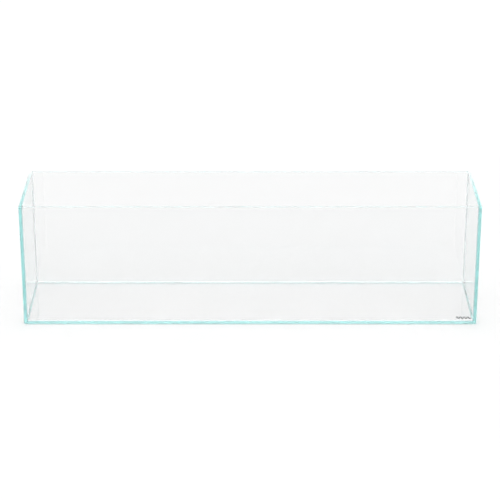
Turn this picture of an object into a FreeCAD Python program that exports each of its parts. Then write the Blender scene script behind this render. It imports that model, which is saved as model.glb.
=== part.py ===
import FreeCAD, Part
import Sketcher
import math
import os

# Rimless glass aquarium tank, open at the top.
#
# Five panes of float glass are joined with clear silicone.  The two side panes run the full height and
# depth.  The bottom pane lies between them.  The front and back panes stand on the bottom pane, also
# between the side panes.  Every joint has a thin structural bond between the glass faces, and a tooled
# sealing bead inside, along the corner.
#
# Frame: +X to the right, +Y to the back, +Z up.  The origin is in the middle of the underside.

doc = FreeCAD.newDocument("aquarium_tank")

# ---------------------------------------------------------------------------------------------------
# Driving dimensions, in millimetres
# ---------------------------------------------------------------------------------------------------

DIMENSIONS = [
    ("tank_length", 900, "outside, left to right"),
    ("tank_depth", 200, "outside, front to back"),
    ("tank_height", 250, "outside, table to rim"),
    ("glass_thickness", 6, "every pane"),
    ("bond_gap", 1, "silicone between two glass faces"),
    ("arris_width", 0.5, "small flat ground along an exposed edge"),
    ("seal_leg", 1.5, "how far a sealing bead reaches along each face of its corner"),
    ("seal_hollow_radius", 2.1, "hollow that the tooling leaves in a sealing bead"),
    ("mark_thickness", 0.1, "print on the front pane"),
    ("mark_stroke", 1.6, "width of the wave's line"),
    ("mark_wave_radius", 1.8, "radius of each half wave, along the middle of the line"),
    ("mark_wave_count", 4, "whole waves in the row"),
    ("mark_side_inset", 11, "from the tank's right side to the end of the mark"),
    ("mark_base_inset", 14, "from the table to the middle line of the mark"),
]

sheet = doc.addObject("Spreadsheet::Sheet", "sizes")
for row, (alias, value, note) in enumerate(DIMENSIONS, start=1):
    sheet.set("A%d" % row, alias)
    sheet.set("B%d" % row, str(value))
    sheet.set("C%d" % row, note)
    sheet.setAlias("B%d" % row, alias)
doc.recompute()


def size(alias):
    """One driving dimension, read from the sheet as a number."""
    return float(sheet.get(alias))


# Lengths that follow from the driving dimensions, as expressions for the features below.
LENGTH = "sizes.tank_length"
DEPTH = "sizes.tank_depth"
HEIGHT = "sizes.tank_height"
GLASS = "sizes.glass_thickness"
GAP = "sizes.bond_gap"
BETWEEN_SIDES = "(sizes.tank_length - 2 * sizes.glass_thickness - 2 * sizes.bond_gap)"
INSIDE_LENGTH = "(sizes.tank_length - 2 * sizes.glass_thickness)"
INSIDE_DEPTH = "(sizes.tank_depth - 2 * sizes.glass_thickness)"
ARRIS = "sizes.arris_width"
UPRIGHT_RUN = "(sizes.tank_height - sizes.glass_thickness - sizes.arris_width)"
WALL_HEIGHT = "(sizes.tank_height - sizes.glass_thickness - sizes.bond_gap)"

nodes = {}


def keep(feature, name):
    """Give a finished piece its own label, which also names its file."""
    feature.Label = name
    nodes[name] = feature
    return feature


def place(feature, x="0", y="0", z="0"):
    """Bind the three coordinates of a piece to expressions."""
    for axis, expression in zip("xyz", (x, y, z)):
        feature.setExpression("Placement.Base." + axis, expression)


# ---------------------------------------------------------------------------------------------------
# Sketches
# ---------------------------------------------------------------------------------------------------

def new_sketch(body, role, name):
    """A sketch on one of the body's own origin planes."""
    planes = [plane for plane in body.Origin.OriginFeatures if plane.Role == role]
    sketch = body.newObject("Sketcher::SketchObject", name)
    sketch.AttachmentSupport = [(planes[0], "")]
    sketch.MapMode = "FlatFace"
    return sketch


def bind_datum(sketch, index, name, expression):
    """Name a dimension of a sketch and bind it to the sheet."""
    sketch.renameConstraint(index, name)
    sketch.setExpression("Constraints." + name, expression)


def draw_rectangle(sketch, wide, high, standing):
    """A rectangle, centred across.  A standing one has its foot on the horizontal axis."""
    left, right = -50.0, 50.0
    low, top = (0.0, 80.0) if standing else (-40.0, 40.0)
    corners = [(left, low), (right, low), (right, top), (left, top)]
    points = [FreeCAD.Vector(across, up, 0) for across, up in corners]
    for start, end in zip(points, points[1:] + points[:1]):
        sketch.addGeometry(Part.LineSegment(start, end), False)
    for line in range(4):
        sketch.addConstraint(Sketcher.Constraint("Coincident", line, 2, (line + 1) % 4, 1))
    for line in (1, 3):
        sketch.addConstraint(Sketcher.Constraint("Vertical", line))
    sketch.addConstraint(Sketcher.Constraint("Horizontal", 2))
    if standing:
        sketch.addConstraint(Sketcher.Constraint("Symmetric", 0, 1, 0, 2, -2))
        sketch.addConstraint(Sketcher.Constraint("PointOnObject", 0, 1, -1))
    else:
        sketch.addConstraint(Sketcher.Constraint("Horizontal", 0))
        sketch.addConstraint(Sketcher.Constraint("Symmetric", 0, 1, 2, 1, -1, 1))
    wide_index = sketch.addConstraint(Sketcher.Constraint("DistanceX", 0, 1, 0, 2, right - left))
    high_index = sketch.addConstraint(Sketcher.Constraint("DistanceY", 1, 1, 1, 2, top - low))
    bind_datum(sketch, wide_index, "wide", wide)
    bind_datum(sketch, high_index, "high", high)


def draw_bead(sketch):
    """The section of a tooled bead: two legs along the glass, joined by a hollow arc."""
    leg = size("seal_leg")
    radius = size("seal_hollow_radius")
    centre = (leg + math.sqrt(2 * radius ** 2 - leg ** 2)) / 2
    corner = FreeCAD.Vector(0, 0, 0)
    across = FreeCAD.Vector(leg, 0, 0)
    up = FreeCAD.Vector(0, leg, 0)
    middle = FreeCAD.Vector(centre, centre, 0)
    start = math.atan2(leg - centre, -centre) % (2 * math.pi)
    end = math.atan2(-centre, leg - centre) % (2 * math.pi)
    circle = Part.Circle(middle, FreeCAD.Vector(0, 0, 1), radius)
    sketch.addGeometry(Part.LineSegment(corner, across), False)
    sketch.addGeometry(Part.LineSegment(corner, up), False)
    sketch.addGeometry(Part.ArcOfCircle(circle, start, end), False)
    sketch.addConstraint(Sketcher.Constraint("Coincident", 0, 1, -1, 1))
    sketch.addConstraint(Sketcher.Constraint("Coincident", 1, 1, -1, 1))
    sketch.addConstraint(Sketcher.Constraint("Horizontal", 0))
    sketch.addConstraint(Sketcher.Constraint("Vertical", 1))
    sketch.addConstraint(Sketcher.Constraint("Coincident", 2, 1, 1, 2))
    sketch.addConstraint(Sketcher.Constraint("Coincident", 2, 2, 0, 2))
    sketch.addConstraint(Sketcher.Constraint("Equal", 0, 1))
    leg_index = sketch.addConstraint(Sketcher.Constraint("DistanceX", 0, 1, 0, 2, leg))
    radius_index = sketch.addConstraint(Sketcher.Constraint("Radius", 2, radius))
    bind_datum(sketch, leg_index, "leg", "sizes.seal_leg")
    bind_datum(sketch, radius_index, "hollow", "sizes.seal_hollow_radius")


def draw_wave(sketch):
    """One whole wave of even width: half rings above and below the axis, joined end to end."""
    middle = size("mark_wave_radius")
    outer = middle + size("mark_stroke") / 2
    inner = middle - size("mark_stroke") / 2
    normal = FreeCAD.Vector(0, 0, 1)
    crest = FreeCAD.Vector(middle, 0, 0)
    trough = FreeCAD.Vector(3 * middle, 0, 0)
    for centre, start in ((crest, 0.0), (trough, math.pi)):
        for radius in (outer, inner):
            circle = Part.Circle(centre, normal, radius)
            sketch.addGeometry(Part.ArcOfCircle(circle, start, start + math.pi), False)
    left = [FreeCAD.Vector(middle - outer, 0, 0), FreeCAD.Vector(middle - inner, 0, 0)]
    right = [FreeCAD.Vector(3 * middle + inner, 0, 0), FreeCAD.Vector(3 * middle + outer, 0, 0)]
    sketch.addGeometry(Part.LineSegment(*left), False)
    sketch.addGeometry(Part.LineSegment(*right), False)
    for arc in range(4):
        sketch.addConstraint(Sketcher.Constraint("PointOnObject", arc, 1, -1))
        sketch.addConstraint(Sketcher.Constraint("PointOnObject", arc, 2, -1))
    sketch.addConstraint(Sketcher.Constraint("Coincident", 0, 3, 1, 3))
    sketch.addConstraint(Sketcher.Constraint("Coincident", 2, 3, 3, 3))
    sketch.addConstraint(Sketcher.Constraint("PointOnObject", 0, 3, -1))
    sketch.addConstraint(Sketcher.Constraint("PointOnObject", 2, 3, -1))
    sketch.addConstraint(Sketcher.Constraint("Equal", 0, 2))
    sketch.addConstraint(Sketcher.Constraint("Equal", 1, 3))
    sketch.addConstraint(Sketcher.Constraint("Coincident", 4, 1, 0, 2))
    sketch.addConstraint(Sketcher.Constraint("Coincident", 4, 2, 1, 2))
    sketch.addConstraint(Sketcher.Constraint("Coincident", 5, 1, 3, 2))
    sketch.addConstraint(Sketcher.Constraint("Coincident", 5, 2, 2, 2))
    outer_index = sketch.addConstraint(Sketcher.Constraint("Radius", 0, outer))
    inner_index = sketch.addConstraint(Sketcher.Constraint("Radius", 1, inner))
    crest_index = sketch.addConstraint(Sketcher.Constraint("DistanceX", -1, 1, 0, 3, middle))
    trough_index = sketch.addConstraint(Sketcher.Constraint("DistanceX", -1, 1, 2, 3, 3 * middle))
    bind_datum(sketch, outer_index, "outer", "sizes.mark_wave_radius + sizes.mark_stroke / 2")
    bind_datum(sketch, inner_index, "inner", "sizes.mark_wave_radius - sizes.mark_stroke / 2")
    bind_datum(sketch, crest_index, "crest", "sizes.mark_wave_radius")
    bind_datum(sketch, trough_index, "trough", "3 * sizes.mark_wave_radius")


# ---------------------------------------------------------------------------------------------------
# Glass panes
# ---------------------------------------------------------------------------------------------------

def make_pane(name, role, wide, high, standing, reverse):
    """A plain pane: a rectangle on an origin plane, as thick as the glass."""
    body = doc.addObject("PartDesign::Body", name)
    sketch = new_sketch(body, role, name + "_outline")
    draw_rectangle(sketch, wide, high, standing)
    pad = body.newObject("PartDesign::Pad", name + "_sheet")
    pad.Profile = sketch
    pad.setExpression("Length", GLASS)
    pad.Reversed = reverse
    doc.recompute()
    return keep(body, name), pad


def grind_arrises(body, pad, exposed):
    """Break the sharp edges that a hand can reach once the tank is together.

    exposed(middle, box) says whether the edge with that middle point is one of them.
    """
    box = pad.Shape.BoundBox
    chosen = []
    for number, edge in enumerate(pad.Shape.Edges, start=1):
        if exposed(edge.BoundBox.Center, box):
            chosen.append("Edge%d" % number)
    chamfer = body.newObject("PartDesign::Chamfer", body.Name + "_arris")
    chamfer.Base = (pad, chosen)
    chamfer.setExpression("Size", ARRIS)
    doc.recompute()
    return len(chosen)


def near(value, target):
    return abs(value - target) < 1e-6


def on_underside_front_or_back(middle, box):
    """The two lower edges of the bottom pane that show outside."""
    at_end = near(middle.y, box.YMin) or near(middle.y, box.YMax)
    return near(middle.z, box.ZMin) and at_end


def on_rim(middle, box):
    """The two long edges along the top of a wall."""
    return near(middle.z, box.ZMax) and near(middle.x, box.Center.x)


def outside_or_rim(outside):
    """The four edges round a side pane's outer face, and the inner edge along its top."""
    def exposed(middle, box):
        outer_face = box.XMin if outside == "left" else box.XMax
        along_top = near(middle.z, box.ZMax) and near(middle.y, box.Center.y)
        return near(middle.x, outer_face) or along_top
    return exposed


bottom, bottom_sheet = make_pane("bottom_pane", "XY_Plane", BETWEEN_SIDES, DEPTH, False, False)
grind_arrises(bottom, bottom_sheet, on_underside_front_or_back)

for name, outer_face in (("front_pane", "-%s / 2" % DEPTH), ("back_pane", "%s / 2 - %s" % (DEPTH, GLASS))):
    wall, wall_sheet = make_pane(name, "XZ_Plane", BETWEEN_SIDES, WALL_HEIGHT, True, True)
    place(wall, y=outer_face, z="%s + %s" % (GLASS, GAP))
    grind_arrises(wall, wall_sheet, on_rim)

for side, low_face in (("left", "-%s / 2" % LENGTH), ("right", "%s / 2 - %s" % (LENGTH, GLASS))):
    wall, wall_sheet = make_pane(side + "_pane", "YZ_Plane", DEPTH, HEIGHT, True, False)
    place(wall, x=low_face)
    grind_arrises(wall, wall_sheet, outside_or_rim(side))


# ---------------------------------------------------------------------------------------------------
# Structural bonds: the silicone left between two glass faces
# ---------------------------------------------------------------------------------------------------

def make_bond(name, extent, corner):
    """A strip of silicone that fills a joint from one glass face to the other."""
    strip = doc.addObject("Part::Box", name)
    for dimension, expression in zip(("Length", "Width", "Height"), extent):
        strip.setExpression(dimension, expression)
    place(strip, *corner)
    return keep(strip, name)


JOINT_LEFT = "-%s / 2" % INSIDE_LENGTH
JOINT_RIGHT = "%s / 2 - %s" % (INSIDE_LENGTH, GAP)
JOINT_FRONT = "-%s / 2" % DEPTH
JOINT_BACK = "%s / 2 - %s" % (DEPTH, GLASS)
UNDER_RUN = "(sizes.glass_thickness - sizes.arris_width)"

# The silicone is trimmed back by an arris at the table and at the rim, so that only glass stands there.
for side, x_low in (("left", JOINT_LEFT), ("right", JOINT_RIGHT)):
    make_bond("bond_bottom_" + side, (GAP, DEPTH, UNDER_RUN), (x_low, JOINT_FRONT, ARRIS))
    for end, y_low in (("front", JOINT_FRONT), ("back", JOINT_BACK)):
        make_bond("bond_%s_%s" % (end, side), (GAP, GLASS, UPRIGHT_RUN), (x_low, y_low, GLASS))

for end, y_low in (("front", JOINT_FRONT), ("back", JOINT_BACK)):
    make_bond("bond_bottom_" + end, (BETWEEN_SIDES, GLASS, GAP), ("-%s / 2" % BETWEEN_SIDES, y_low, GLASS))


# ---------------------------------------------------------------------------------------------------
# Sealing beads: tooled along every inside corner
# ---------------------------------------------------------------------------------------------------

def make_bead(name, run_length, rotation, start):
    """A straight bead with its square corner at start, run to its length along its own axis."""
    body = doc.addObject("PartDesign::Body", name)
    sketch = new_sketch(body, "XY_Plane", name + "_section")
    draw_bead(sketch)
    pad = body.newObject("PartDesign::Pad", name + "_run")
    pad.Profile = sketch
    pad.setExpression("Length", run_length)
    body.Placement = FreeCAD.Placement(FreeCAD.Vector(0, 0, 0), rotation)
    place(body, *start)
    doc.recompute()
    return body


def cope(name, bead, crossing):
    """Shape the end of a bead over the beads that it runs into."""
    result = bead
    for number, other in enumerate(crossing, start=1):
        cut = doc.addObject("Part::Cut", "%s_coped_%d" % (name, number))
        cut.Base = result
        cut.Tool = other
        result = cut
    doc.recompute()
    return keep(result, name)


# The corners go round counter-clockwise, seen from above.  At each, one upright bead starts from the
# bottom pane, and one bottom bead starts towards the next corner.
UPRIGHT = FreeCAD.Vector(0, 0, 1)
LAID_DOWN = FreeCAD.Rotation(FreeCAD.Vector(1, 1, 1), 120)
CORNERS = [
    ("front_left", "front", -1, -1, 0),
    ("front_right", "right", 1, -1, 90),
    ("back_right", "back", 1, 1, 180),
    ("back_left", "left", -1, 1, 270),
]

upright_beads = {}
bottom_beads = {}
for corner, wall, x_side, y_side, turn in CORNERS:
    spin = FreeCAD.Rotation(UPRIGHT, turn)
    start = ("%d * %s / 2" % (x_side, INSIDE_LENGTH), "%d * %s / 2" % (y_side, INSIDE_DEPTH), GLASS)
    run_length = INSIDE_LENGTH if wall in ("front", "back") else INSIDE_DEPTH
    upright_beads[corner] = make_bead("upright_" + corner, UPRIGHT_RUN, spin, start)
    bottom_beads[wall] = make_bead("laid_" + wall, run_length, spin.multiply(LAID_DOWN), start)

for wall in ("front", "back"):
    keep(bottom_beads[wall], "seal_bottom_" + wall)
for wall in ("left", "right"):
    cope("seal_bottom_" + wall, bottom_beads[wall], [bottom_beads["front"], bottom_beads["back"]])
for corner, bead in upright_beads.items():
    crossing = [bottom_beads[wall] for wall in corner.split("_")]
    cope("seal_" + corner, bead, crossing)


# ---------------------------------------------------------------------------------------------------
# Mark: a row of small waves, printed on the outside of the front pane
# ---------------------------------------------------------------------------------------------------

mark = doc.addObject("PartDesign::Body", "corner_mark")
wave_outline = new_sketch(mark, "XZ_Plane", "wave_outline")
draw_wave(wave_outline)
wave = mark.newObject("PartDesign::Pad", "wave")
wave.Profile = wave_outline
wave.setExpression("Length", "sizes.mark_thickness")
doc.recompute()

WAVE_PITCH = "4 * sizes.mark_wave_radius"
wave_row = mark.newObject("PartDesign::LinearPattern", "wave_row")
wave_row.Originals = [wave]
wave_row.Direction = (wave_outline, ["H_Axis"])
wave_row.setExpression("Length", "%s * (sizes.mark_wave_count - 1)" % WAVE_PITCH)
wave_row.setExpression("Occurrences", "sizes.mark_wave_count")
mark.Tip = wave_row
mark_start = "%s / 2 - sizes.mark_side_inset - sizes.mark_stroke / 2 - %s * sizes.mark_wave_count"
place(mark, x=mark_start % (LENGTH, WAVE_PITCH), y="-%s / 2" % DEPTH, z="sizes.mark_base_inset")
keep(mark, "corner_mark")


# ---------------------------------------------------------------------------------------------------
# Check and write
# ---------------------------------------------------------------------------------------------------

doc.recompute()

for feature in doc.Objects:
    bad = {"Invalid", "Error"}.intersection(feature.State)
    if bad:
        raise RuntimeError("%s is in state %s" % (feature.Label, sorted(bad)))

os.makedirs("parts", exist_ok=True)
for name in sorted(nodes):
    shape = nodes[name].Shape
    if shape.isNull() or not shape.isValid():
        raise RuntimeError(name + " has no valid shape")
    if len(shape.Solids) != 1:
        raise RuntimeError("%s is %d solids, not one" % (name, len(shape.Solids)))
    shape.exportStep(os.path.join("parts", name + ".step"))
    box = shape.BoundBox
    low = "%.2f %.2f %.2f" % (box.XMin, box.YMin, box.ZMin)
    high = "%.2f %.2f %.2f" % (box.XMax, box.YMax, box.ZMax)
    print("%-20s %10.1f mm3   from %s to %s" % (name, shape.Volume, low, high))
print("%d pieces" % len(nodes))
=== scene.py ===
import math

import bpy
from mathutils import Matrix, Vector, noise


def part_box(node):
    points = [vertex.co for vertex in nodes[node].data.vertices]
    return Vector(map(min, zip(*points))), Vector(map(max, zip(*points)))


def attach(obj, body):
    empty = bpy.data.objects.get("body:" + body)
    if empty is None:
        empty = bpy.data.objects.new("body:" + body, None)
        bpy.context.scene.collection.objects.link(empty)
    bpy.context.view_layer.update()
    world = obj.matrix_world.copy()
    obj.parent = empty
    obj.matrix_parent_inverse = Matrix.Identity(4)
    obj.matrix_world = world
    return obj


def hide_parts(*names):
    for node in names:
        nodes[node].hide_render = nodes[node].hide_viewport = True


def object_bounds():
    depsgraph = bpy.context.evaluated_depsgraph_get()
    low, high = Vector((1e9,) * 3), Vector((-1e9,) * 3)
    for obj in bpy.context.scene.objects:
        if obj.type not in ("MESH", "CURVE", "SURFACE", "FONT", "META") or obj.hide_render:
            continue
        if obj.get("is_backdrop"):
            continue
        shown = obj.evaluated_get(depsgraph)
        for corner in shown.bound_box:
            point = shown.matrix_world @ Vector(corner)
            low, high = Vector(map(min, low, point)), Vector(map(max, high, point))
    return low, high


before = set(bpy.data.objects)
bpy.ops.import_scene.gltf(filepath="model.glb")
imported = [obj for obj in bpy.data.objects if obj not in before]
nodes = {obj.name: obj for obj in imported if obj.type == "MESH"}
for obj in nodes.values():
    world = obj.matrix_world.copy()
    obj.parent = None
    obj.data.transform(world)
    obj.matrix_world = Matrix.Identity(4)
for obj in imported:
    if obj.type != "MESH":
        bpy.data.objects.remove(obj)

# %% [markdown]
# # A rimless glass aquarium tank
# Five panes of clear float glass stand edge to edge, and clear silicone is all that holds them together.
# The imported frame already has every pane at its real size, in metres, with +Z up and the origin under the
# middle of the tank.  This lesson dresses that frame: it sets up a bright studio, mixes the glass and the
# print, and then lays the silicone itself, bond lines first and corner beads after.  The panes are plain
# slabs whose shape is right as it stands, so they are kept and only given a finish.  Silicone is soft and
# is never quite even, so each run of it is built again here as a mesh of its own.

cad_low, cad_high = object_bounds()
scene = bpy.context.scene

MILLIMETRE = 0.001
front_low, front_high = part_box("front_pane")
tank_size = [side / MILLIMETRE for side in cad_high - cad_low]
print("frame: %d nodes, tank %.0f x %.0f x %.0f mm" % (len(nodes), *tank_size))
print("glass is %.1f mm thick" % ((front_high.y - front_low.y) / MILLIMETRE))

# %% [markdown]
# ## The camera
# A long lens from a few metres away keeps the long tank nearly square to the eye, with only a little of the
# side panes' inner faces in sight.  It looks down at the tank by about 23 degrees, which opens up the floor
# pane and the four rims.  A short lens close by would spread the side panes far more than that.

# %% The camera
CAMERA_TILT = math.radians(22.907)
CAMERA_DISTANCE = 3.7754
LOOK_AT = Vector((-0.0004, 0.0, 0.1178))
SENSOR_WIDTH = 36.0
LENS = 134.77

camera_data = bpy.data.cameras.new("studio_camera")
camera_data.sensor_width = SENSOR_WIDTH
camera_data.lens = LENS
camera_data.clip_end = 100.0
camera = bpy.data.objects.new("studio_camera", camera_data)
camera.location = LOOK_AT + CAMERA_DISTANCE * Vector((0.0, -math.cos(CAMERA_TILT), math.sin(CAMERA_TILT)))
camera.rotation_euler = (math.pi / 2 - CAMERA_TILT, 0.0, 0.0)
scene.collection.objects.link(camera)
scene.camera = camera
print("camera stands %.2f m away and %.2f m up" % (-camera.location.y, camera.location.z))

# %% [markdown]
# ## Small helpers for node trees
# Every finish below is a tree of shader nodes.  Typing each socket and link by hand would bury the idea, so
# five short helpers do the typing.  Three of them build a tree: one plugs a value or a link into a socket,
# one places a node, and one does arithmetic.  The other two are for node groups: a group is a finish effect
# with named inputs and outputs, opened and built once, and then used in several materials.

# %% Small helpers for node trees
def plug(tree, value, socket):
    """Link a socket to a socket, or set a plain value on it."""
    if isinstance(value, bpy.types.NodeSocket):
        tree.links.new(value, socket)
    else:
        socket.default_value = value


def place(tree, kind, sockets=None, **options):
    """Put one node in a tree, set its options, and plug what its sockets take."""
    node = tree.nodes.new(kind)
    for option, value in options.items():
        setattr(node, option, value)
    for socket, value in (sockets or {}).items():
        plug(tree, value, node.inputs[socket])
    return node


def maths(tree, operation, first, second=0.0):
    """One sum on plain numbers or on what other nodes put out."""
    return place(tree, "ShaderNodeMath", {0: first, 1: second}, operation=operation).outputs[0]


def open_group(name, inputs, outputs):
    """Start a node group; returns the group, its inputs as sockets to read, and its outputs to plug."""
    group = bpy.data.node_groups.new(name, "ShaderNodeTree")
    for socket, kind, value in inputs:
        group.interface.new_socket(socket, in_out="INPUT", socket_type=kind).default_value = value
    for socket, kind in outputs:
        group.interface.new_socket(socket, in_out="OUTPUT", socket_type=kind)
    entry = group.nodes.new("NodeGroupInput")
    leave = group.nodes.new("NodeGroupOutput")
    return group, entry.outputs, leave.inputs


def use_group(tree, group, **values):
    """Place a finished group in a material; underscores in a name stand for spaces."""
    node = place(tree, "ShaderNodeGroup", node_tree=group)
    for name, value in values.items():
        plug(tree, value, node.inputs[name.replace("_", " ").capitalize()])
    return node.outputs


FLOAT = "NodeSocketFloat"
VECTOR = "NodeSocketVector"
print("helpers ready")

# %% [markdown]
# ## A light tent and a pale table
# Clear glass shows nothing of its own: it shows what is around it.  Shops and studios put it in a white light
# tent, where every reflection is white and only the edges of the glass keep their colour.  The tent is made
# here as a world colour, white all round and brighter overhead, which makes no hard spots and little noise.
# Lamps would leave bright patches in the panes.  The table is a large pale sheet with a paint dark enough
# that the light tent's top doesn't burn it out.  It lies a hair below the tank: two surfaces at the very same
# height flicker, and a deeper gap shows as a dark line along the foot of the glass.

# %% A light tent and a pale table
TENT_BRIGHTNESS = 1.0
TENT_TOP_BRIGHTNESS = 3.2
TENT_TOP_STARTS = 0.25
TABLE_HALF = 20.0
TABLE_DROP = 0.05 * MILLIMETRE
TABLE_PAINT = (0.45, 0.45, 0.45, 1.0)

tent = bpy.data.worlds.new("light_tent")
tent.use_nodes = True
scene.world = tent
tent_tree = tent.node_tree
heading = place(tent_tree, "ShaderNodeTexCoord").outputs["Generated"]
upward = place(tent_tree, "ShaderNodeSeparateXYZ", {"Vector": heading}).outputs["Z"]
brightness = place(
    tent_tree, "ShaderNodeMapRange",
    {"Value": upward, "From Min": TENT_TOP_STARTS, "From Max": 1.0,
     "To Min": TENT_BRIGHTNESS, "To Max": TENT_TOP_BRIGHTNESS},
    interpolation_type="SMOOTHSTEP",
).outputs["Result"]
tent_light = tent_tree.nodes["Background"]
tent_light.inputs["Color"].default_value = (1.0, 1.0, 1.0, 1.0)
plug(tent_tree, brightness, tent_light.inputs["Strength"])

table_mesh = bpy.data.meshes.new("table_top")
corners = [(-1, -1), (1, -1), (1, 1), (-1, 1)]
table_mesh.from_pydata([(x * TABLE_HALF, y * TABLE_HALF, -TABLE_DROP) for x, y in corners], [], [range(4)])
table = bpy.data.objects.new("table_top", table_mesh)
scene.collection.objects.link(table)
table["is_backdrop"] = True

table_paint = bpy.data.materials.new("table_paint")
table_paint.use_nodes = True
table_shader = table_paint.node_tree.nodes["Principled BSDF"]
table_shader.inputs["Base Color"].default_value = TABLE_PAINT
table_shader.inputs["Roughness"].default_value = 1.0
table_shader.inputs["Specular IOR Level"].default_value = 0.0
table_mesh.materials.append(table_paint)
print("tent %.1f all round and %.1f overhead" % (TENT_BRIGHTNESS, TENT_TOP_BRIGHTNESS))

# %% [markdown]
# ## How far light may travel
# Light crosses several faces of glass here before it reaches the table, and inside an edge it bounces from
# wall to wall dozens of times.  If it is cut off early the edges go black, so the limits are raised.  Filter
# Glossy softens what glass throws on a surface behind it, and it darkens the table under the tank, so it is
# switched off.  The Standard view keeps the tent's white as white, where the usual view would grey it.

# %% How far light may travel
GLASS_BOUNCES = 96
TABLE_BOUNCES = 12

scene.cycles.max_bounces = GLASS_BOUNCES
scene.cycles.transmission_bounces = GLASS_BOUNCES
scene.cycles.glossy_bounces = GLASS_BOUNCES
scene.cycles.diffuse_bounces = TABLE_BOUNCES
scene.cycles.blur_glossy = 0.0
scene.view_settings.view_transform = "Standard"
print("light may cross %d faces" % GLASS_BOUNCES)

# %% [markdown]
# ## Effect: the ground edge
# A pane's two big faces come off the float line bright and flat, but its edges are cut, then ground matt on a
# belt.  The finish could be split by painting each face of the mesh, but a slab of glass has to stay one
# material all over, or light that enters by one face and leaves by another loses its way.  So the group works
# the edge out instead: a surface that doesn't look along the pane's thickness is an edge.  Where silicone
# covers an edge it wets the grinding and turns it clear again, and the group leaves those edges out: the ends
# that face the side panes, and the foot of a wall, up to a height given in metres.

# %% Effect: the ground edge
FACING = 0.9

ground_edge, given, result = open_group(
    "ground_edge",
    [("Thickness axis", VECTOR, (0.0, 1.0, 0.0)), ("Bonded height", FLOAT, -1.0)],
    [("Ground", FLOAT)],
)
surface_normal = place(ground_edge, "ShaderNodeNewGeometry").outputs["Normal"]
along_thickness = place(
    ground_edge, "ShaderNodeVectorMath",
    {0: surface_normal, 1: given["Thickness axis"]},
    operation="DOT_PRODUCT",
).outputs["Value"]
sideways = place(ground_edge, "ShaderNodeSeparateXYZ", {"Vector": surface_normal}).outputs["X"]
where = place(ground_edge, "ShaderNodeTexCoord").outputs["Object"]
height = place(ground_edge, "ShaderNodeSeparateXYZ", {"Vector": where}).outputs["Z"]
is_edge = maths(ground_edge, "LESS_THAN", maths(ground_edge, "ABSOLUTE", along_thickness), FACING)
is_open = maths(ground_edge, "LESS_THAN", maths(ground_edge, "ABSOLUTE", sideways), FACING)
is_above = maths(ground_edge, "GREATER_THAN", height, given["Bonded height"])
dry_edge = maths(ground_edge, "MULTIPLY", maths(ground_edge, "MULTIPLY", is_edge, is_open), is_above)
plug(ground_edge, dry_edge, result["Ground"])
print("group %s: %d nodes" % (ground_edge.name, len(ground_edge.nodes)))

# %% [markdown]
# ## Effect: belt grain
# The belt leaves fine pits and short scratches, which is why a ground edge looks frosted.  One noise at about
# a millimetre gives the patches where the belt pressed more, and a finer one gives the pits.  The group puts
# out a value for the roughness and a height for the bump.

# %% Effect: belt grain
PATCH_DETAIL = 2.0
PIT_DETAIL = 1.0

belt_grain, given, result = open_group(
    "belt_grain",
    [("Patch scale", FLOAT, 300.0), ("Pit scale", FLOAT, 3000.0)],
    [("Patches", FLOAT), ("Height", FLOAT)],
)
where = place(belt_grain, "ShaderNodeTexCoord").outputs["Object"]
for scale, detail, output in (("Patch scale", PATCH_DETAIL, "Patches"), ("Pit scale", PIT_DETAIL, "Height")):
    grit = place(
        belt_grain, "ShaderNodeTexNoise", {"Vector": where, "Scale": given[scale], "Detail": detail}
    ).outputs["Fac"]
    plug(belt_grain, grit, result[output])
print("group %s: %d nodes" % (belt_grain.name, len(belt_grain.nodes)))

# %% [markdown]
# ## Effect: soft cloud
# Nothing that has been handled is even all over.  Wiped glass keeps a faint haze in long soft streaks, and
# silicone and ink vary in the same gentle way from place to place.  All of them share one group: a noise that
# is stretched along a direction of choice, pushed so that most of it is clean and only some of it is cloudy.

# %% Effect: soft cloud
CLOUDY_FROM = 0.8
CLOUD_DETAIL = 3.0
CLOUD_SWIRL = 0.4

soft_cloud, given, result = open_group(
    "soft_cloud",
    [("Scale", FLOAT, 10.0), ("Stretch", VECTOR, (1.0, 1.0, 1.0)), ("Clean share", FLOAT, 0.5)],
    [("Cloud", FLOAT)],
)
where = place(soft_cloud, "ShaderNodeTexCoord").outputs["Object"]
pulled = place(
    soft_cloud, "ShaderNodeVectorMath", {0: where, 1: given["Stretch"]}, operation="MULTIPLY"
).outputs["Vector"]
drift = place(
    soft_cloud, "ShaderNodeTexNoise",
    {"Vector": pulled, "Scale": given["Scale"], "Detail": CLOUD_DETAIL, "Distortion": CLOUD_SWIRL},
).outputs["Fac"]
cloud = place(
    soft_cloud, "ShaderNodeMapRange",
    {"Value": drift, "From Min": given["Clean share"], "From Max": CLOUDY_FROM, "To Min": 0.0, "To Max": 1.0},
    interpolation_type="SMOOTHSTEP",
).outputs["Result"]
plug(soft_cloud, cloud, result["Cloud"])
print("group %s: %d nodes" % (soft_cloud.name, len(soft_cloud.nodes)))

# %% [markdown]
# ## Helpers that mix
# Every finish from here on goes from one colour or number to another: from clean to hazy, from bright to
# ground, from clear to milky.  A share between 0 and 1 says how far, and the effects above put out such
# shares.  A Mix node could be placed by hand each time, but its colour sockets share their names with its
# number sockets and have to be picked by their place in the row, so one helper remembers that.

# %% Helpers that mix
MIX_COLOUR_A = 6
MIX_COLOUR_B = 7
MIX_COLOUR_RESULT = 2


def mixed_colour(tree, share, plain, other):
    """A colour that goes from plain to other as the share goes from 0 to 1."""
    node = place(tree, "ShaderNodeMix", {"Factor": share}, data_type="RGBA")
    plug(tree, plain, node.inputs[MIX_COLOUR_A])
    plug(tree, other, node.inputs[MIX_COLOUR_B])
    return node.outputs[MIX_COLOUR_RESULT]


def between(tree, share, low, high):
    """A number that goes from low to high as the share goes from 0 to 1."""
    sockets = {"Value": share, "To Min": low, "To Max": high}
    return place(tree, "ShaderNodeMapRange", sockets).outputs["Result"]


def tinted(colour, share):
    """A colour with a share of its brightness, as a socket takes it."""
    return (*[part * share for part in colour], 1.0)


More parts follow.
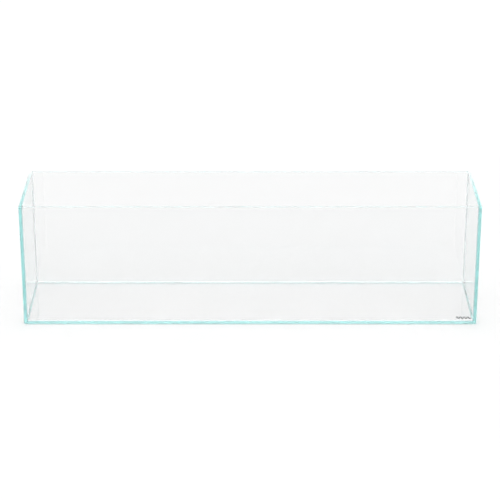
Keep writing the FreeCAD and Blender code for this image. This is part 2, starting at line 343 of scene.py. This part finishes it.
print("half of mid grey is %.2f, %.2f, %.2f" % tinted((0.5, 0.5, 0.5), 0.5)[:3])

# %% [markdown]
# ## The glass: what its inside takes out
# Low-iron float glass is nearly without colour through its 6 mm, yet along the 200 mm from the front edge to
# the back it has taken out so much red that the edge glows a pale sea green.  The colour therefore belongs to
# the inside of the glass, as an absorption that grows with the distance light travels, and not to its
# surface.  A tinted surface would colour the big faces and leave the edges pale.
#
# The absorption is given as a rate per metre for red, green and blue: each colour dies away as e to the power
# of minus its rate times the distance.  The volume shader takes a density and a colour instead, and its rate
# is the density times one minus the colour.

# %% The glass: what its inside takes out
LOSS_RATE_PER_METRE = (4.95, 1.43, 1.55)
ABSORPTION_DENSITY = 6.0


def fill_with_glass(tree, loss_share):
    """Give a material the inside of float glass, with a share of the full absorption."""
    inside = place(tree, "ShaderNodeVolumeAbsorption")
    kept = [1.0 - rate * loss_share / ABSORPTION_DENSITY for rate in LOSS_RATE_PER_METRE]
    inside.inputs["Density"].default_value = ABSORPTION_DENSITY
    inside.inputs["Color"].default_value = (*kept, 1.0)
    plug(tree, inside.outputs["Volume"], tree.nodes["Material Output"].inputs["Volume"])


red_kept = math.exp(-LOSS_RATE_PER_METRE[0] * (cad_high.y - cad_low.y))
print("over the tank's depth the glass loses %.0f %% of red" % (100 * (1 - red_kept)))

# %% [markdown]
# ## The glass: its relief
# Float glass is flat to the eye, but the light that slides along it still shows a trace of ripple.  The
# ground edges have the belt's pits on top of that.  Both are far too small for a mesh: a bump does them, with
# its heights in millimetres, and the share of ground edge keeps the pits off the faces.

# %% The glass: its relief
RIPPLE_SCALE = 6.0
RIPPLE_CLEAN_SHARE = 0.2
RIPPLE_MILLIMETRES = 0.02
PIT_MILLIMETRES = 0.03


def glass_relief(tree, ground, pits):
    """The normal of a pane's surface: a faint ripple all over, and pits where it is ground."""
    ripple = use_group(tree, soft_cloud, scale=RIPPLE_SCALE, clean_share=RIPPLE_CLEAN_SHARE)["Cloud"]
    ripple_height = maths(tree, "MULTIPLY", ripple, RIPPLE_MILLIMETRES)
    edge_pits = maths(tree, "MULTIPLY", pits, ground)
    pit_height = maths(tree, "MULTIPLY", edge_pits, PIT_MILLIMETRES)
    relief = maths(tree, "ADD", ripple_height, pit_height)
    bump = place(tree, "ShaderNodeBump", {"Height": relief, "Distance": MILLIMETRE})
    return bump.outputs["Normal"]


print("ripple %.2f mm, pits %.2f mm" % (RIPPLE_MILLIMETRES, PIT_MILLIMETRES))

# %% [markdown]
# ## The glass: the whole recipe
# The surface itself is a clear dielectric: smooth on the faces, where a trace of haze is left from wiping,
# and matt on the ground edges.  A ground edge also throws back a soft white sheen from its crushed surface,
# so a satin coat lies on the edges and nowhere else.  Across a pane the absorption is slight but not nothing,
# and the face tint balances it, so that the big faces look neutral.

# %% The glass: the whole recipe
GLASS_IOR = 1.52
FACE_TINT = (1.0, 0.98, 0.982)
HAZE_LETS_THROUGH = 0.993
HAZE_ROUGHNESS = 0.06
HAZE_SCALE = 9.0
HAZE_CLEAN_SHARE = 0.48
EDGE_ROUGHNESS = (0.88, 0.94)
EDGE_SATIN_IOR = 1.75
EDGE_SATIN_ROUGHNESS = 0.6


def glass_material(
        name, thickness_axis, wipe_stretch, face_clarity, edge_clarity,
        loss_share=1.0, bonded_height=-1.0):
    """Float glass for one kind of pane; clarity is the share of light that a face or an edge lets through."""
    material = bpy.data.materials.new(name)
    material.use_nodes = True
    tree = material.node_tree
    shader = tree.nodes["Principled BSDF"]
    shader.inputs["IOR"].default_value = GLASS_IOR
    shader.inputs["Transmission Weight"].default_value = 1.0

    ground = use_group(
        tree, ground_edge, thickness_axis=thickness_axis, bonded_height=bonded_height
    )["Ground"]
    grain = use_group(tree, belt_grain)
    haze = use_group(
        tree, soft_cloud, scale=HAZE_SCALE, stretch=wipe_stretch, clean_share=HAZE_CLEAN_SHARE
    )["Cloud"]

    clean_face = tinted(FACE_TINT, face_clarity)
    hazy_face = tinted(FACE_TINT, face_clarity * HAZE_LETS_THROUGH)
    face_colour = mixed_colour(tree, haze, clean_face, hazy_face)
    edge_colour = (edge_clarity, edge_clarity, edge_clarity, 1.0)
    plug(tree, mixed_colour(tree, ground, face_colour, edge_colour), shader.inputs["Base Color"])

    face_roughness = maths(tree, "MULTIPLY", haze, HAZE_ROUGHNESS)
    edge_roughness = between(tree, grain["Patches"], *EDGE_ROUGHNESS)
    roughness = place(tree, "ShaderNodeMix", {"Factor": ground, "A": face_roughness, "B": edge_roughness})
    plug(tree, roughness.outputs[0], shader.inputs["Roughness"])

    plug(tree, ground, shader.inputs["Coat Weight"])
    shader.inputs["Coat IOR"].default_value = EDGE_SATIN_IOR
    shader.inputs["Coat Roughness"].default_value = EDGE_SATIN_ROUGHNESS
    plug(tree, glass_relief(tree, ground, grain["Height"]), shader.inputs["Normal"])
    fill_with_glass(tree, loss_share)
    return material


print("a hazy patch lets %.1f %% through" % (100 * HAZE_LETS_THROUGH))

# %% [markdown]
# ## Glass for the walls, the sides and the floor
# The panes face three ways, so each kind needs its own thickness axis and its own direction of wiping: the
# walls are wiped along their length, the sides from front to back.  The front and back walls stand on a bond,
# so their feet are wetted up to just above it.  The front wall lets the most light through its faces, and the
# back wall and the sides are set a little greyer.  The floor comes from a paler batch, which absorbs less,
# and
# the grey of its edge is painted shade: it holds down the extra light that the floor's front strip gets from
# the table below.  One material for all five would lose those differences.

# %% Glass for the walls, the sides and the floor
FLOOR_LOSS_SHARE = 0.68
FACING_FRONT = (0.0, 1.0, 0.0)
FACING_SIDE = (1.0, 0.0, 0.0)
FACING_UP = (0.0, 0.0, 1.0)
WALL_WIPE = (0.35, 1.0, 1.6)
SIDE_WIPE = (1.0, 0.5, 1.6)
FLOOR_WIPE = (0.35, 1.6, 1.0)
WETTED_PAST_BOND = 0.2 * MILLIMETRE
wetted_to = front_low.z + WETTED_PAST_BOND

front_glass = glass_material(
    "front_glass", FACING_FRONT, WALL_WIPE, face_clarity=0.995, edge_clarity=0.95, bonded_height=wetted_to)
back_glass = glass_material(
    "back_glass", FACING_FRONT, WALL_WIPE, face_clarity=0.966, edge_clarity=0.95, bonded_height=wetted_to)
side_glass = glass_material(
    "side_glass", FACING_SIDE, SIDE_WIPE, face_clarity=0.94, edge_clarity=0.95)
# The floor's edge_clarity of 0.9 is painted shade on its front edge, greyer than the walls' 0.95.
floor_glass = glass_material(
    "floor_glass", FACING_UP, FLOOR_WIPE, face_clarity=0.993, edge_clarity=0.9, loss_share=FLOOR_LOSS_SHARE)


def finish_node(node, material):
    """Give a CAD node one finish all over."""
    node.data.materials.clear()
    node.data.materials.append(material)


pane_finishes = {
    "front_pane": front_glass,
    "back_pane": back_glass,
    "left_pane": side_glass,
    "right_pane": side_glass,
    "bottom_pane": floor_glass,
}
for name, material in pane_finishes.items():
    finish_node(nodes[name], material)
    print("%s is %s" % (name, material.name))

# %% [markdown]
# ## The printed mark
# A small ribbon of waves is printed on the front pane, low at the right.  Screen ink is a thin, dull, nearly
# black film.  It is never quite solid: the mesh of the screen leaves it thinner in places, and the glass
# shows through a little as dark grey.  A single black would look like a hole, so the soft cloud varies both
# its shade and its shine.

# %% The printed mark
INK_DARK = (0.018, 0.019, 0.021, 1.0)
INK_THIN = (0.085, 0.088, 0.092, 1.0)
INK_ROUGHNESS = (0.42, 0.66)
INK_CLOUD_SCALE = 420.0
INK_CLEAN_SHARE = 0.42
SCREEN_MESH_SCALE = 2600.0
SCREEN_MESH_RELIEF = 0.02 * MILLIMETRE

ink = bpy.data.materials.new("screen_ink")
ink.use_nodes = True
ink_tree = ink.node_tree
ink_shader = ink_tree.nodes["Principled BSDF"]
thin_ink = use_group(ink_tree, soft_cloud, scale=INK_CLOUD_SCALE, clean_share=INK_CLEAN_SHARE)["Cloud"]
screen_mesh = place(
    ink_tree, "ShaderNodeTexVoronoi", {"Scale": SCREEN_MESH_SCALE}, feature="SMOOTH_F1"
).outputs["Distance"]
ink_relief = place(ink_tree, "ShaderNodeBump", {"Height": screen_mesh, "Distance": SCREEN_MESH_RELIEF})
plug(ink_tree, mixed_colour(ink_tree, thin_ink, INK_DARK, INK_THIN), ink_shader.inputs["Base Color"])
plug(ink_tree, between(ink_tree, thin_ink, *INK_ROUGHNESS), ink_shader.inputs["Roughness"])
plug(ink_tree, ink_relief.outputs["Normal"], ink_shader.inputs["Normal"])
finish_node(nodes["corner_mark"], ink)
print("ink is on corner_mark")

# %% [markdown]
# ## The silicone's finish
# Clear silicone is softer than glass to look at as well as to touch.  It bends light less, it is faintly
# milky, and its skin is satin where it has cured in air.  One recipe serves every run, and the runs differ in
# how milky and how rough they are.  In a bond line, a millimetre thick, it is pressed smooth between the
# panes and is the greyest.  The beads inside are so small that they are nearly clear.  The upright ones have
# a satin skin, the ones at the feet of the walls are smoother, and the ones at the sides of the floor are a
# little greyer, because a tank is seen along them and they read as thin grey lines.

# %% The silicone's finish
SILICONE_IOR = 1.41
MILK_SCALE = 160.0
MILK_CLEAN_SHARE = 0.35
TOOLING_SCALE = 420.0
TOOLING_CLEAN_SHARE = 0.2


def silicone_material(name, clear_tint, milky_tint, roughness_range, tooling_millimetres):
    """Cured silicone that goes from a clear to a milky tint, with fine ripples from tooling."""
    material = bpy.data.materials.new(name)
    material.use_nodes = True
    tree = material.node_tree
    shader = tree.nodes["Principled BSDF"]
    shader.inputs["IOR"].default_value = SILICONE_IOR
    shader.inputs["Transmission Weight"].default_value = 1.0
    milk = use_group(tree, soft_cloud, scale=MILK_SCALE, clean_share=MILK_CLEAN_SHARE)["Cloud"]
    tooling = use_group(tree, soft_cloud, scale=TOOLING_SCALE, clean_share=TOOLING_CLEAN_SHARE)["Cloud"]
    relief = maths(tree, "MULTIPLY", tooling, tooling_millimetres)
    skin = place(tree, "ShaderNodeBump", {"Height": relief, "Distance": MILLIMETRE})
    milky_colour = mixed_colour(tree, milk, (*clear_tint, 1.0), (*milky_tint, 1.0))
    plug(tree, milky_colour, shader.inputs["Base Color"])
    plug(tree, between(tree, milk, *roughness_range), shader.inputs["Roughness"])
    plug(tree, skin.outputs["Normal"], shader.inputs["Normal"])
    return material


bond_finish = silicone_material(
    "bond_silicone", clear_tint=(0.89, 0.91, 0.92), milky_tint=(0.85, 0.87, 0.88),
    roughness_range=(0.15, 0.25), tooling_millimetres=0.001)
upright_finish = silicone_material(
    "upright_silicone", clear_tint=(0.99, 0.985, 0.985), milky_tint=(0.97, 0.965, 0.965),
    roughness_range=(0.35, 0.45), tooling_millimetres=0.002)
wall_foot_finish = silicone_material(
    "wall_foot_silicone", clear_tint=(0.99, 0.965, 0.965), milky_tint=(0.975, 0.95, 0.95),
    roughness_range=(0.2, 0.3), tooling_millimetres=0.002)
side_foot_finish = silicone_material(
    "side_foot_silicone", clear_tint=(0.95, 0.925, 0.93), milky_tint=(0.92, 0.895, 0.90),
    roughness_range=(0.35, 0.45), tooling_millimetres=0.002)
for finish in (bond_finish, upright_finish, wall_foot_finish, side_foot_finish):
    print("mixed %s" % finish.name)

# %% [markdown]
# ## Laying silicone: stations along a run
# Every run of silicone, thin or fat, is one outline carried along a line.  A row of stations is set along the
# run, and the outline is drawn at each.  A curve with a bevel would do the same for an even bead, but here
# the outline changes from station to station, because silicone swells and shrinks a little as it is squeezed,
# and the ends have to be cut to fit a corner.  That swelling follows a smooth noise along the run, with its
# own stretch of noise for each run.

# %% Laying silicone: stations along a run
STATION_STEP = 6 * MILLIMETRE
SWELL_LENGTH = 60 * MILLIMETRE
RUNS_APART = 7.31
NOISE_LEVEL = 0.5


def waver(spot, run_number):
    """A smooth number between about -1 and 1 that changes along a run, different for each run."""
    return noise.noise(Vector((spot / SWELL_LENGTH, run_number * RUNS_APART, NOISE_LEVEL)))


def stations(start, end):
    """Evenly spaced places from start to end, about STATION_STEP apart."""
    count = max(2, round(abs(end - start) / STATION_STEP))
    return [start + (end - start) * i / count for i in range(count + 1)]


print("a run as long as the tank has %d stations" % len(stations(cad_low.x, cad_high.x)))

# %% [markdown]
# ## Laying silicone: from outlines to a piece
# The outlines along a run are skinned into one closed tube with a cap at each end.  Its long sides are shaded
# smooth, and its corners stay crisp, because only faces that meet at a small angle are blended.  The tube
# then becomes a piece that rides on the tank and stands for its plain CAD node.  A modifier could skin the
# outlines too, but plain lists of points and faces keep every corner where it was put.

# %% Laying silicone: from outlines to a piece
SMOOTH_ANGLE = math.radians(35)
MILLILITRES = 1e6


def skin_tube(name, rings):
    """Join rings of points into one closed mesh, with smooth flanks and crisp corners."""
    ring_size = len(rings[0])
    points = [point for ring in rings for point in ring]
    faces = []
    last = (len(rings) - 1) * ring_size
    for this in range(0, last, ring_size):
        following = this + ring_size
        for j in range(ring_size):
            k = (j + 1) % ring_size
            faces.append((this + j, this + k, following + k, following + j))
    faces.append(tuple(reversed(range(ring_size))))
    faces.append(tuple(range(last, last + ring_size)))
    mesh = bpy.data.meshes.new(name)
    mesh.from_pydata(points, [], faces)
    mesh.shade_smooth()
    mesh.set_sharp_from_angle(angle=SMOOTH_ANGLE)
    return mesh


def face_outwards(mesh):
    """Turn the mesh inside out if its faces look inwards; returns the volume that it closes in."""
    volume = 0.0
    mesh.calc_loop_triangles()
    for triangle in mesh.loop_triangles:
        a, b, c = [mesh.vertices[v].co for v in triangle.vertices]
        volume += a.dot(b.cross(c)) / 6
    if volume < 0:
        mesh.flip_normals()
    return abs(volume)


def lay(node, rings, finish):
    """Make one run of silicone that stands for a CAD node."""
    mesh = skin_tube("silicone_" + node, rings)
    volume = face_outwards(mesh)
    mesh.materials.append(finish)
    piece = bpy.data.objects.new("silicone_" + node, mesh)
    scene.collection.objects.link(piece)
    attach(piece, "root")
    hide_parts(node)
    print("%-28s %4d faces, %5.2f ml" % (piece.name, len(mesh.polygons), volume * MILLILITRES))
    return piece


print("corners over %.0f degrees stay crisp" % math.degrees(SMOOTH_ANGLE))

# %% [markdown]
# ## The bond lines
# A bond is the sheet of silicone between two panes, a millimetre thick and as wide as the glass.  It is
# squeezed out when the panes are pressed together and wiped off flush, which leaves its open side slightly
# hollow.  The outline is a strip with one hollow side; the hollow's depth wavers along the run.  Each bond is
# described by the axis it runs along, the axis it is thin in, and the side on which it is open.
#
# Silicone wets glass, so there is no air between them.  Two surfaces at the very same place would fight, and
# a gap would mirror like a soap film, so each run reaches a few hundredths of a millimetre into the glass.

# %% The bond lines
WETTING = 0.03 * MILLIMETRE
HOLLOW_DEPTH = 0.15 * MILLIMETRE
HOLLOW_WAVER = 0.25
HOLLOW_STEPS = 6
AXIS = {"x": 0, "y": 1, "z": 2}


def bond_outline(thin_low, thin_high, buried, open_side, depth):
    """Points (thin, wide) around a bond: straight where it is buried, and hollow where it is open."""
    outline = [(thin_low - WETTING, buried), (thin_high + WETTING, buried)]
    middle = (thin_low + thin_high) / 2
    half = (thin_high - thin_low) / 2
    inward = math.copysign(1.0, buried - open_side)
    outline.append((thin_high + WETTING, open_side))
    for step in range(HOLLOW_STEPS + 1):
        across = 1.0 - 2.0 * step / HOLLOW_STEPS
        outline.append((middle + half * across, open_side + inward * depth * (1.0 - across * across)))
    outline.append((thin_low - WETTING, open_side))
    return outline


def bond(node, along, thin, wide, open_side, run_number):
    """A bond line for a CAD node; open_side is "low" or "high" on the wide axis."""
    low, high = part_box(node)
    run, gap, width = AXIS[along], AXIS[thin], AXIS[wide]
    shown = low[width] if open_side == "low" else high[width]
    buried = high[width] if open_side == "low" else low[width]
    rings = []
    for spot in stations(low[run], high[run]):
        depth = HOLLOW_DEPTH * (1.0 + HOLLOW_WAVER * waver(spot, run_number))
        ring = []
        for across, out in bond_outline(low[gap], high[gap], buried, shown, depth):
            point = Vector()
            point[run] = spot
            point[gap] = across
            point[width] = out
            ring.append(point)
        rings.append(ring)
    return lay(node, rings, bond_finish)


bonds = [
    bond("bond_bottom_front", "x", "z", "y", "low", 1),
    bond("bond_bottom_back", "x", "z", "y", "high", 2),
    bond("bond_bottom_left", "y", "x", "z", "low", 3),
    bond("bond_bottom_right", "y", "x", "z", "low", 4),
    bond("bond_front_left", "z", "x", "y", "low", 5),
    bond("bond_front_right", "z", "x", "y", "low", 6),
    bond("bond_back_left", "z", "x", "y", "high", 7),
    bond("bond_back_right", "z", "x", "y", "high", 8),
]
print("%d bond lines" % len(bonds))

# %% [markdown]
# ## The beads: one outline for all eight
# Inside the tank a bead covers every joint.  It sits in the corner of two panes, where two flat legs touch
# the glass, and the tool that smoothed it left the third side as a hollow arc that runs out thin on both
# panes.  The arc's centre stands off both panes by the same distance, which follows from the leg and the
# tool's radius.  The leg wavers slowly along the run, as a hand does.

# %% The beads: one outline for all eight
ARC_STEPS = 10
LEG_WAVER = 0.03
LEGS_PER_RADIUS = 1.4
TOWARDS_CORNER = math.radians(-135)

bead_low, bead_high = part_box("seal_bottom_front")
BEAD_LEG = bead_high.z - bead_low.z
TOOL_RADIUS = LEGS_PER_RADIUS * BEAD_LEG
inner_front = front_high.y
inner_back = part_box("back_pane")[0].y
inner_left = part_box("left_pane")[1].x
inner_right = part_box("right_pane")[0].x
inner_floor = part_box("bottom_pane")[1].z


def arc_centre(leg, radius):
    """How far the tool's centre stands off both panes."""
    return (leg + math.sqrt(2 * radius * radius - leg * leg)) / 2


def bead_height(distance, leg):
    """How high a bead stands at a distance from the wall behind it."""
    if distance >= leg:
        return 0.0
    radius = TOOL_RADIUS * leg / BEAD_LEG
    centre = arc_centre(leg, radius)
    return centre - math.sqrt(radius * radius - (centre - max(distance, 0.0)) ** 2)


def bead_outline(leg):
    """Points (off the first pane, off the second pane) around a bead with this leg.

    The hollow is the part of the tool's circle that faces the corner, and it is the same on both sides of
    the line from the tool's centre to the corner.
    """
    radius = TOOL_RADIUS * leg / BEAD_LEG
    centre = arc_centre(leg, radius)
    first = math.atan2(-centre, leg - centre)
    last = 2 * TOWARDS_CORNER - first
    outline = [(-WETTING, -WETTING), (leg, -WETTING)]
    for step in range(ARC_STEPS + 1):
        angle = first + (last - first) * step / ARC_STEPS
        outline.append((centre + radius * math.cos(angle), centre + radius * math.sin(angle)))
    outline.append((-WETTING, leg))
    return outline


print("bead leg %.2f mm, tool radius %.2f mm" % (BEAD_LEG / MILLIMETRE, TOOL_RADIUS / MILLIMETRE))

# %% [markdown]
# ## The four beads along the floor
# These run round the floor pane like a skirting, and meet at the corners in mitres.  A mitre needs no cutting
# here: the end of each point's line is moved in by that point's own distance from its wall, and the outline
# ends on the slant by itself.

# %% The four beads along the floor
def floor_bead(node, along, wall, inward, start, end, run_number, finish):
    """A bead along the foot of a wall.  inward is +1 or -1, from the wall to the middle of the tank."""
    rings = []
    row = stations(start, end)
    for spot in row:
        leg = BEAD_LEG * (1.0 + LEG_WAVER * waver(spot, run_number))
        ring = []
        for off_wall, off_floor in bead_outline(leg):
            mitred = min(max(spot, start + off_wall), end - off_wall)
            out = wall + inward * off_wall
            flat = (mitred, out) if along == "x" else (out, mitred)
            ring.append(Vector((*flat, inner_floor + off_floor)))
        rings.append(ring)
    return lay(node, rings, finish)


floor_beads = [
    floor_bead("seal_bottom_front", "x", inner_front, 1, inner_left, inner_right, 11, wall_foot_finish),
    floor_bead("seal_bottom_back", "x", inner_back, -1, inner_left, inner_right, 12, wall_foot_finish),
    floor_bead("seal_bottom_left", "y", inner_left, 1, inner_front, inner_back, 13, side_foot_finish),
    floor_bead("seal_bottom_right", "y", inner_right, -1, inner_front, inner_back, 14, side_foot_finish),
]
print("%d floor beads" % len(floor_beads))

# %% [markdown]
# ## The four upright beads
# An upright bead comes down into the corner of two floor beads and lands on them.  Its lower end is therefore
# not flat: every point of the outline comes down to the height that the floor beads have at that point's
# distance from the two walls, whichever stands higher.

# %% The four upright beads
def upright_bead(node, corner_x, corner_y, inward_x, inward_y, run_number):
    """A bead up the corner of a side pane and a wall, from the floor beads to the height of the CAD node."""
    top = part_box(node)[1].z
    rings = []
    for spot in stations(inner_floor, top):
        leg = BEAD_LEG * (1.0 + LEG_WAVER * waver(spot, run_number))
        ring = []
        for off_side, off_wall in bead_outline(leg):
            landing = max(bead_height(off_side, BEAD_LEG), bead_height(off_wall, BEAD_LEG))
            height = max(spot, inner_floor + landing - WETTING)
            ring.append(Vector((corner_x + inward_x * off_side, corner_y + inward_y * off_wall, height)))
        rings.append(ring)
    return lay(node, rings, upright_finish)


upright_beads = [
    upright_bead("seal_front_left", inner_left, inner_front, 1, 1, 21),
    upright_bead("seal_front_right", inner_right, inner_front, -1, 1, 22),
    upright_bead("seal_back_left", inner_left, inner_back, 1, -1, 23),
    upright_bead("seal_back_right", inner_right, inner_back, -1, -1, 24),
]
print("%d upright beads" % len(upright_beads))

# %% [markdown]
# ## Measuring up
# Dressing the frame must not change its size.  The box of the dressed tank is measured against the box of
# the bare frame, and the furthest it stands outside that box is printed.

# %% Measuring up
low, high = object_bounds()
grown = max(max(cad_low - low), max(high - cad_high))
print("the dressed tank stands %.3f mm outside the frame" % (max(grown, 0.0) / MILLIMETRE))
